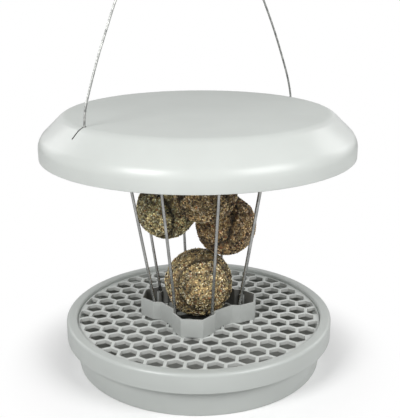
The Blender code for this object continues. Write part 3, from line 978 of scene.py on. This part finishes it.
rod_tips = round_places(rod_tip, ROD_AZIMUTHS)
cable_ends = [CABLE_AZIMUTH, CABLE_AZIMUTH + math.pi]
cable_holes = round_places(CABLE_HOLE_RADIUS, cable_ends)
sockets = posts(rod_tips, SOCKET_OUTER, roof_socket_bottom, roof_underside + OVERSHOOT)
shell = cut(shell, sockets, "UNION")
pads = posts(cable_holes, PAD_RADIUS, SLEEVE_TOP + CLEARANCE, roof_underside + PAD_OVERLAP)
shell = cut(shell, pads, "UNION")
bores = posts(rod_tips, ROD_BORE, roof_socket_bottom - OVERSHOOT, roof_underside)
shell = cut(shell, bores, "DIFFERENCE")
holes = posts(cable_holes, CABLE_HOLE, SLEEVE_TOP - 2 * OVERSHOOT, roof_high.z + 2 * OVERSHOOT)
shell = cut(shell, holes, "DIFFERENCE")
slots = bmesh.new()
for azimuth, (x, y) in zip(cable_ends, cable_holes):
    stem = bmesh.ops.create_cone(
        slots, cap_ends=True, segments=SLOT_SIDES, radius1=SLOT_WIDTH / 2, radius2=SLOT_WIDTH / 2,
        depth=SLOT_CUTTER_HEIGHT,
    )["verts"]
    far = [vert for vert in stem if vert.co.x > MERGE_DISTANCE]
    bmesh.ops.translate(slots, verts=far, vec=(SLOT_LENGTH - SLOT_WIDTH / 2, 0, 0))
    place = Matrix.Translation((x, y, roof_high.z - SLOT_CUTTER_DROP))
    bmesh.ops.transform(slots, verts=stem, matrix=place @ Matrix.Rotation(azimuth, 4, "Z"))
shell = cut(shell, slots, "DIFFERENCE")
keep_corners(shell, sharpest=40)
print("roof with sockets and keyholes:", len(shell.faces), "faces")

# %% Painted shade in the keyholes
WALL_FACING = 0.5


def in_keyhole(face, azimuth):
    """Whether a face is one of the upright walls of a keyhole."""
    middle = Matrix.Rotation(-azimuth, 3, "Z") @ face.calc_center_median()
    along = middle.x - CABLE_HOLE_RADIUS
    half_width = CABLE_HOLE + CLEARANCE
    within = -half_width < along < SLOT_LENGTH and abs(middle.y) < half_width
    return within and abs(face.normal.z) < WALL_FACING and middle.z > SLEEVE_TOP


walls = [face for face in shell.faces if any(in_keyhole(face, azimuth) for azimuth in cable_ends)]
for face in walls:
    face.material_index = PAINTED_SHADE_FINISH
print("keyhole walls:", len(walls))
roof = finished(shell, "shallow_roof", "roof", ["roof"], roof_plastic)
# A near-black finish on the keyhole walls paints the shade in the holes
roof.data.materials.append(moulded_plastic("keyhole_painted_shade", (0.075, 0.074, 0.068), 0.70))

# %% [markdown]
# ## The finish of fat and seed
#
# The balls are pressed from fat and many kinds of grain. A material for each kind would be
# clumsy. Each grain writes its colour to an attribute of the mesh instead, and one finish
# reads it for all the balls. A fine noise mottles the colour, so that no grain is quite even.

# %% Grain colours and finish
# A Mix node has several sockets of the same name, so its colour sockets are taken by number
MIX_A = 6
MIX_B = 7
MIX_RESULT = 2
MOTTLE_STRENGTH = 0.40
MOTTLE_SPAN = (0.30, 0.62)
MOTTLE_DARK = (0.45, 0.42, 0.38, 1)
MOTTLE_LIGHT = (1, 1, 1, 1)


def from_screen(red, green, blue):
    """A colour written in screen values from 0 to 255, as the linear values Blender uses."""
    parts = [value / 255 for value in (red, green, blue)]
    return Vector([v / 12.92 if v < 0.04045 else ((v + 0.055) / 1.055) ** 2.4 for v in parts])


CREAM = from_screen(250, 240, 210)
STRAW = from_screen(232, 212, 160)
TAN = from_screen(204, 178, 128)
OLIVE = from_screen(186, 178, 132)
RUST = from_screen(176, 116, 78)
BROWN = from_screen(124, 98, 70)
DARK = from_screen(44, 38, 32)
FAT = from_screen(176, 150, 106)

fat_and_seed = new_finish("fat_and_seed", metallic=0.0)
nodes, links = fat_and_seed.node_tree.nodes, fat_and_seed.node_tree.links
grain_colour = nodes.new("ShaderNodeAttribute")
grain_colour.attribute_name = "grain_colour"
mottle = nodes.new("ShaderNodeMix")
mottle.data_type = "RGBA"
mottle.blend_type = "MULTIPLY"
mottle.inputs["Factor"].default_value = MOTTLE_STRENGTH
mottle_tone = nodes.new("ShaderNodeValToRGB")
mottle_tone.color_ramp.elements[0].position = MOTTLE_SPAN[0]
mottle_tone.color_ramp.elements[0].color = MOTTLE_DARK
mottle_tone.color_ramp.elements[1].position = MOTTLE_SPAN[1]
mottle_tone.color_ramp.elements[1].color = MOTTLE_LIGHT
speckle = noise_node(fat_and_seed, scale=900, detail=3)
links.new(speckle.outputs["Fac"], mottle_tone.inputs["Fac"])
links.new(grain_colour.outputs["Color"], mottle.inputs[MIX_A])
links.new(mottle_tone.outputs["Color"], mottle.inputs[MIX_B])
links.new(mottle.outputs[MIX_RESULT], nodes["Principled BSDF"].inputs["Base Color"])
gloss_between(fat_and_seed, noise_node(fat_and_seed, scale=700, detail=2), low=0.45, high=0.75)
bump_from(fat_and_seed, noise_node(fat_and_seed, scale=2600, detail=3), depth=0.0003, strength=0.5)
print("nodes of the balls' finish:", len(nodes))

# %% [markdown]
# ## The shape of a pressed ball
#
# A ball has flat spots, small lumps, and a groove where the cup of the press ended.
# Dark cracks wind over it as painted shade, with no relief, and the fat is cloudy. A displacement
# texture could do this, but the grains have to follow the same surface, so two functions answer
# for any direction from the ball's middle: how far out the surface lies, and how light its colour
# is there, with painted shade in the groove and the cracks.

# %% Surface of a ball
PRESS_EDGE = math.radians(53)
PRESS_GROOVE = 0.0030
GROOVE_WIDTH = 0.08
# Painted shade: how much darker the colour is in the groove and along the cracks
GROOVE_PAINTED_SHADE = 0.90
CRACK_WIDTH = 0.07
CRACK_PAINTED_SHADE = 0.45
FLAT_FACING = 0.5
# Strength of each noise over the ball
GROOVE_WANDER = 0.10
FINE_CLOUD = 0.90
BROAD_CLOUD = 0.70
LUMP_HEIGHT = 0.010
CRUMB_HEIGHT = 0.012
# How often each noise changes over the ball
GROOVE_SCALE = 3
FINE_SCALE = 10
BROAD_SCALE = 4
CRACK_SCALE = 5
LUMP_SCALE = 2.3
CRUMB_SCALE = 9.0
# The noise is lowered by this much, so that lumps and crumbs hardly rise above the ball
SUNK = 0.4


def press_groove(direction, axis):
    """How deep a direction lies in the groove round a cap that the press has left, 0 to 1."""
    wander = GROOVE_WANDER * noise.noise(direction * GROOVE_SCALE)
    return math.exp(-((direction.angle(axis) - PRESS_EDGE + wander) / GROOVE_WIDTH) ** 2)


def cloud_and_painted_shade(direction, axis, seed):
    """How light the surface's colour is: a cloudy tone, with painted shade in the groove and along a
    few winding cracks.
    """
    shade = 1 + FINE_CLOUD * noise.noise(direction * FINE_SCALE + Vector((seed, 0, 0)))
    shade *= 1 + BROAD_CLOUD * noise.noise(direction * BROAD_SCALE + Vector((0, seed, 0)))
    # A crack only darkens the colour: painted shade, the surface has no crack in it
    if abs(noise.noise(direction * CRACK_SCALE + Vector((seed, seed, 0)))) < CRACK_WIDTH:
        shade *= CRACK_PAINTED_SHADE
    return shade * (1 - GROOVE_PAINTED_SHADE * press_groove(direction, axis))


def pressed_radius(direction, radius, flats, axis, seed):
    """How far the surface is from the ball's middle: round, with flats, lumps and a groove."""
    reach = radius
    for normal, distance in flats:
        facing = direction.dot(normal)
        if facing > FLAT_FACING:
            reach = min(reach, distance / facing)
    lumps = noise.noise(direction * LUMP_SCALE + Vector((seed, 0, 0)))
    crumbs = noise.noise(direction * CRUMB_SCALE + Vector((0, seed, 0)))
    reach *= 1 + LUMP_HEIGHT * (lumps - SUNK) + CRUMB_HEIGHT * (crumbs - SUNK)
    return reach - PRESS_GROOVE * press_groove(direction, axis)


print("press groove", round(math.degrees(PRESS_EDGE)), "degrees from the axis of the press")

# %% [markdown]
# ## Grains
#
# Millet, cracked maize, husks and dark seeds lie flat in the fat. A bump texture alone looks
# like sandpaper, so the grains are real: thousands of icospheres with twenty faces each,
# stretched, dented and turned to lie on the surface. The places follow a golden spiral, which
# is even, and a random shift makes them natural. Fixed seeds give the same ball every time.

# %% Grains
GRAIN_COUNT = 4200
GRAIN_SHIFT = 1.1
GRAIN_TILT = 0.3
GRAIN_SINK = (0.0, 1.1)
GRAIN_TINT = (0.50, 1.15)
GRAIN_DENT = 0.18
# Painted shade: a grain's colour darkens towards its foot and lightens towards its top
GRAIN_FOOT_PAINTED_SHADE = 0.70
GRAIN_TOP_PAINTED_LIGHT = 0.40
# Share of the grains, then length, width and height in millimetres, then the colours
MILLET = (0.36, (1.2, 1.9), (1.1, 1.7), (0.9, 1.5), (CREAM, STRAW, STRAW, TAN))
CRACKED = (0.34, (1.6, 2.9), (1.3, 2.3), (0.9, 1.6), (STRAW, STRAW, TAN, OLIVE, CREAM))
HUSK = (0.14, (2.4, 4.2), (0.9, 1.5), (0.7, 1.0), (CREAM, STRAW, OLIVE))
RED_GRAIN = (0.07, (1.5, 2.4), (1.2, 1.8), (1.0, 1.5), (RUST, BROWN, BROWN))
BLACK_SEED = (0.09, (1.8, 3.6), (1.1, 1.8), (0.9, 1.5), (DARK, DARK, BROWN))
KINDS = (MILLET, CRACKED, HUSK, RED_GRAIN, BLACK_SEED)


def scatter(count, chance):
    """Directions spread evenly over a ball, each shifted a little at random."""
    golden = math.pi * (3 - math.sqrt(5))
    spots = []
    for i in range(count):
        height = 1 - 2 * (i + 0.5) / count
        level = math.sqrt(1 - height * height)
        spot = Vector((level * math.cos(golden * i), level * math.sin(golden * i), height))
        shift = Vector([chance.gauss(0, 1) for _ in range(3)]) * GRAIN_SHIFT / math.sqrt(count)
        spots.append((spot + shift).normalized())
    return spots


def press_grain(batch, direction, surface, kind, cast, chance):
    """Sets one grain flat into the ball's surface and colours it, with painted shade where it sinks
    in.
    """
    _, lengths, widths, heights, colours = kind
    # A whole size in millimetres over 2000 is half that size in metres
    size = Vector([chance.uniform(*span) / 2000 for span in (lengths, widths, heights)])
    lie = direction.to_track_quat("Z", "Y") @ Quaternion((0, 0, 1), chance.uniform(0, math.tau))
    lie = lie @ Quaternion((0, 1, 0), chance.gauss(0, GRAIN_TILT))
    depth = surface - size.z * chance.uniform(*GRAIN_SINK)
    place = Matrix.LocRotScale(direction * depth, lie, size)
    tint = chance.choice(colours) * chance.uniform(*GRAIN_TINT) * cast
    colour = batch.verts.layers.float_color["grain_colour"]
    for vert in bmesh.ops.create_icosphere(batch, subdivisions=1, radius=1.0, matrix=place)["verts"]:
        rise = (vert.co.length - depth) / size.z
        vert.co += (vert.co - direction * depth) * chance.uniform(-GRAIN_DENT, GRAIN_DENT)
        # Darker at the foot and lighter at the top: painted shade between the grains
        vert[colour] = (*(tint * min(1.0, GRAIN_FOOT_PAINTED_SHADE + GRAIN_TOP_PAINTED_LIGHT * rise)), 1)


print(len(KINDS), "kinds of grain,", GRAIN_COUNT, "grains a ball")

# %% [markdown]
# ## The balls
#
# The four balls differ as real ones do: one is darker and redder, one lighter and greyer, and
# in some the dark seeds clump. Each starts as an icosphere, whose even triangles take
# lumps better than a sphere with poles, and is then covered with grains. The grains are
# made in small batches, because adding to a large bmesh gets slower and slower.

# %% Balls
GRAIN_BATCH = 60
CORE_DIVISIONS = 5
CORE_SINK = 0.0009
CORE_SHADE = (0.5, 1.0)
SEED_STEP = 17
FLAT_COUNT = 16
FLAT_DISTANCE = (0.955, 0.995)
CLUMP_SCALE = 2.6
CLUMP_LEVEL = 0.22
# Each ball: a tint over its grains, how much its dark seeds clump, the axis of its press
MIXES = {
    1: (Vector((1.04, 1.03, 1.00)), 1.5, Vector((0.36, -0.90, 0.24))),
    2: (Vector((0.94, 0.82, 0.76)), 4.0, Vector((-0.55, -0.75, 0.35))),
    3: (Vector((1.28, 1.36, 1.34)), 2.0, Vector((-0.50, -0.85, -0.10))),
    4: (Vector((1.12, 1.03, 0.98)), 3.0, Vector((0.05, -0.85, -0.40))),
}


def ball_core(radius, flats, number, chance):
    """The ball of fat under the grains, with its colour written to the attribute."""
    cast, _, axis = MIXES[number]
    bm = bmesh.new()
    bmesh.ops.create_icosphere(bm, subdivisions=CORE_DIVISIONS, radius=radius)
    colour = bm.verts.layers.float_color.new("grain_colour")
    for vert in bm.verts:
        direction = vert.co.normalized()
        vert.co = direction * (pressed_radius(direction, radius, flats, axis, number) - CORE_SINK)
        # The colour carries the cloudy tone and the painted shade of the groove and cracks
        shade = cloud_and_painted_shade(direction, axis, number) * chance.uniform(*CORE_SHADE)
        vert[colour] = (*(FAT * cast * shade), 1)
    return bm


def grain_ball(number):
    """One ball: a core with flats, covered with grains."""
    low, high = box_of(f"fat_ball_{number}")
    radius = (high.z - low.z) / 2
    chance = random.Random(number * SEED_STEP)
    cast, clumping, axis = MIXES[number]
    flats = []
    for _ in range(FLAT_COUNT):
        normal = Vector([chance.gauss(0, 1) for _ in range(3)]).normalized()
        flats.append((normal, radius * chance.uniform(*FLAT_DISTANCE)))
    bm = ball_core(radius, flats, number, chance)
    spots = scatter(GRAIN_COUNT, chance)
    for first in range(0, GRAIN_COUNT, GRAIN_BATCH):
        batch = bmesh.new()
        batch.verts.layers.float_color.new("grain_colour")
        for direction in spots[first:first + GRAIN_BATCH]:
            crowd = noise.noise(direction * CLUMP_SCALE + Vector((0, 0, number)))
            clump = clumping if crowd > CLUMP_LEVEL else 1.0
            shares = [kind[0] * (clump if kind in (RED_GRAIN, BLACK_SEED) else 1.0) for kind in KINDS]
            kind = chance.choices(KINDS, shares)[0]
            surface = pressed_radius(direction, radius, flats, axis, number)
            shade = cloud_and_painted_shade(direction, axis, number)
            press_grain(batch, direction, surface, kind, cast * shade, chance)
        pour(batch, bm)
    bmesh.ops.translate(bm, verts=bm.verts[:], vec=(low + high) / 2)
    for face in bm.faces:
        face.smooth = True
    finished(bm, f"grain_ball_{number}", "basket", [f"fat_ball_{number}"], fat_and_seed)


for number in MIXES:
    grain_ball(number)

# %% [markdown]
# ## The floor
#
# The station stands on a white table. Near the tray the floor is a plain pale surface that
# shows the shadow, and further out it passes into pure white for the camera. A white floor
# would throw much light up under the roof, so to all but the camera's rays the paper is
# a little darker than it looks.

# %% Floor
FLOOR_RADIUS = 6.0
FLOOR_SIDES = 64
PAPER_ROUGHNESS = 0.9
PAPER_FOR_LIGHT = (0.74, 0.74, 0.74, 1)
PAPER_SEEN = (0.90, 0.90, 0.90, 1)
FADE_START = 0.112
FADE_END = 0.20

bm = bmesh.new()
bmesh.ops.create_circle(bm, cap_ends=True, segments=FLOOR_SIDES, radius=FLOOR_RADIUS)
floor = as_object(bm, "floor")

floor_white = new_finish("floor_white", metallic=0.0)
nodes, links = floor_white.node_tree.nodes, floor_white.node_tree.links
paper = nodes["Principled BSDF"]
paper.inputs["Roughness"].default_value = PAPER_ROUGHNESS
glow = nodes.new("ShaderNodeEmission")
place = nodes.new("ShaderNodeTexCoord")
distance = nodes.new("ShaderNodeVectorMath")
distance.operation = "LENGTH"
fade = nodes.new("ShaderNodeMapRange")
fade.interpolation_type = "SMOOTHSTEP"
fade.inputs["From Min"].default_value = FADE_START
fade.inputs["From Max"].default_value = FADE_END
seen = nodes.new("ShaderNodeLightPath")
only_seen = nodes.new("ShaderNodeMath")
only_seen.operation = "MULTIPLY"
blend = nodes.new("ShaderNodeMixShader")
paper_tone = nodes.new("ShaderNodeMix")
paper_tone.data_type = "RGBA"
paper_tone.inputs[MIX_A].default_value = PAPER_FOR_LIGHT
paper_tone.inputs[MIX_B].default_value = PAPER_SEEN
links.new(seen.outputs["Is Camera Ray"], paper_tone.inputs["Factor"])
links.new(paper_tone.outputs[MIX_RESULT], paper.inputs["Base Color"])
links.new(place.outputs["Object"], distance.inputs[0])
links.new(distance.outputs["Value"], fade.inputs["Value"])
links.new(fade.outputs["Result"], only_seen.inputs[0])
links.new(seen.outputs["Is Camera Ray"], only_seen.inputs[1])
links.new(only_seen.outputs["Value"], blend.inputs["Fac"])
links.new(paper.outputs["BSDF"], blend.inputs[1])
links.new(glow.outputs["Emission"], blend.inputs[2])
links.new(blend.outputs["Shader"], nodes["Material Output"].inputs["Surface"])
floor.data.materials.append(floor_white)
print("floor", 2 * FLOOR_RADIUS, "m across, white from", FADE_END, "m outwards")

# %% [markdown]
# ## The white surround
#
# The world is white for the camera and for reflections, so metal and glossy plastic mirror a
# white room. For the light that falls on the surfaces it is only a weak grey, so that
# the lamps give the shapes. The Light Path node tells these rays apart.

# %% White surround
WORLD_FILL = 0.06
WORLD_WHITE = 1.0

world = bpy.data.worlds.new("white_room")
scene.world = world
world.use_nodes = True
nodes, links = world.node_tree.nodes, world.node_tree.links
fill = nodes["Background"]
fill.inputs["Color"].default_value = (1, 1, 1, 1)
fill.inputs["Strength"].default_value = WORLD_FILL
white = nodes.new("ShaderNodeBackground")
white.inputs["Color"].default_value = (1, 1, 1, 1)
white.inputs["Strength"].default_value = WORLD_WHITE
seen = nodes.new("ShaderNodeLightPath")
camera_or_gloss = nodes.new("ShaderNodeMath")
camera_or_gloss.operation = "MAXIMUM"
or_through = nodes.new("ShaderNodeMath")
or_through.operation = "MAXIMUM"
blend = nodes.new("ShaderNodeMixShader")
links.new(seen.outputs["Is Camera Ray"], camera_or_gloss.inputs[0])
links.new(seen.outputs["Is Glossy Ray"], camera_or_gloss.inputs[1])
links.new(camera_or_gloss.outputs["Value"], or_through.inputs[0])
links.new(seen.outputs["Is Transmission Ray"], or_through.inputs[1])
links.new(or_through.outputs["Value"], blend.inputs["Fac"])
links.new(fill.outputs["Background"], blend.inputs[1])
links.new(white.outputs["Background"], blend.inputs[2])
links.new(blend.outputs["Shader"], nodes["World Output"].inputs["Surface"])
print("white surround ready")

# %% [markdown]
# ## The lamps
#
# Two broad soft boxes stand in front, one on each side of the camera, as in a product studio.
# They draw the two streaks on the rounded rim of the roof and make its sloping shoulder the
# brightest surface, and two weak boxes further round open up the sides. Point lamps would
# give hard shadows, so all are area lamps, each placed by two angles round the station.

# %% Lamps
STATION_MIDDLE = Vector((0, 0, 0.16))
LAMP_DISTANCE = 1.3
# Swing and rise in degrees, width and height in metres, power in watts
LAMPS = {
    "box_left": (-38, 33, (0.55, 0.45), 12.4),
    "box_right": (48, 33, (0.75, 0.50), 11.6),
    "side_left": (-125, 24, (0.50, 0.60), 2.2),
    "side_right": (120, 24, (0.50, 0.60), 2.8),
}


def soft_box(name, swing, rise, size, power):
    """An area lamp that faces the station, placed by two angles from the camera's side."""
    azimuth = math.atan2(CAMERA_PLACE.y, CAMERA_PLACE.x) + math.radians(swing)
    level = math.cos(math.radians(rise))
    ray = Vector((level * math.cos(azimuth), level * math.sin(azimuth), math.sin(math.radians(rise))))
    lamp = bpy.data.lights.new(name, "AREA")
    lamp.shape = "RECTANGLE"
    lamp.size, lamp.size_y = size
    lamp.energy = power
    box = bpy.data.objects.new(name, lamp)
    box.location = STATION_MIDDLE + ray * LAMP_DISTANCE
    box.rotation_euler = ray.to_track_quat("Z", "Y").to_euler()
    scene.collection.objects.link(box)


for name, (swing, rise, size, power) in LAMPS.items():
    soft_box(name, swing, rise, size, power)
print("lamps:", ", ".join(LAMPS))

# %% [markdown]
# ## The view transform
#
# The picture's colours are shown through the standard view transform.

# %% View transform
scene.view_settings.view_transform = "Standard"
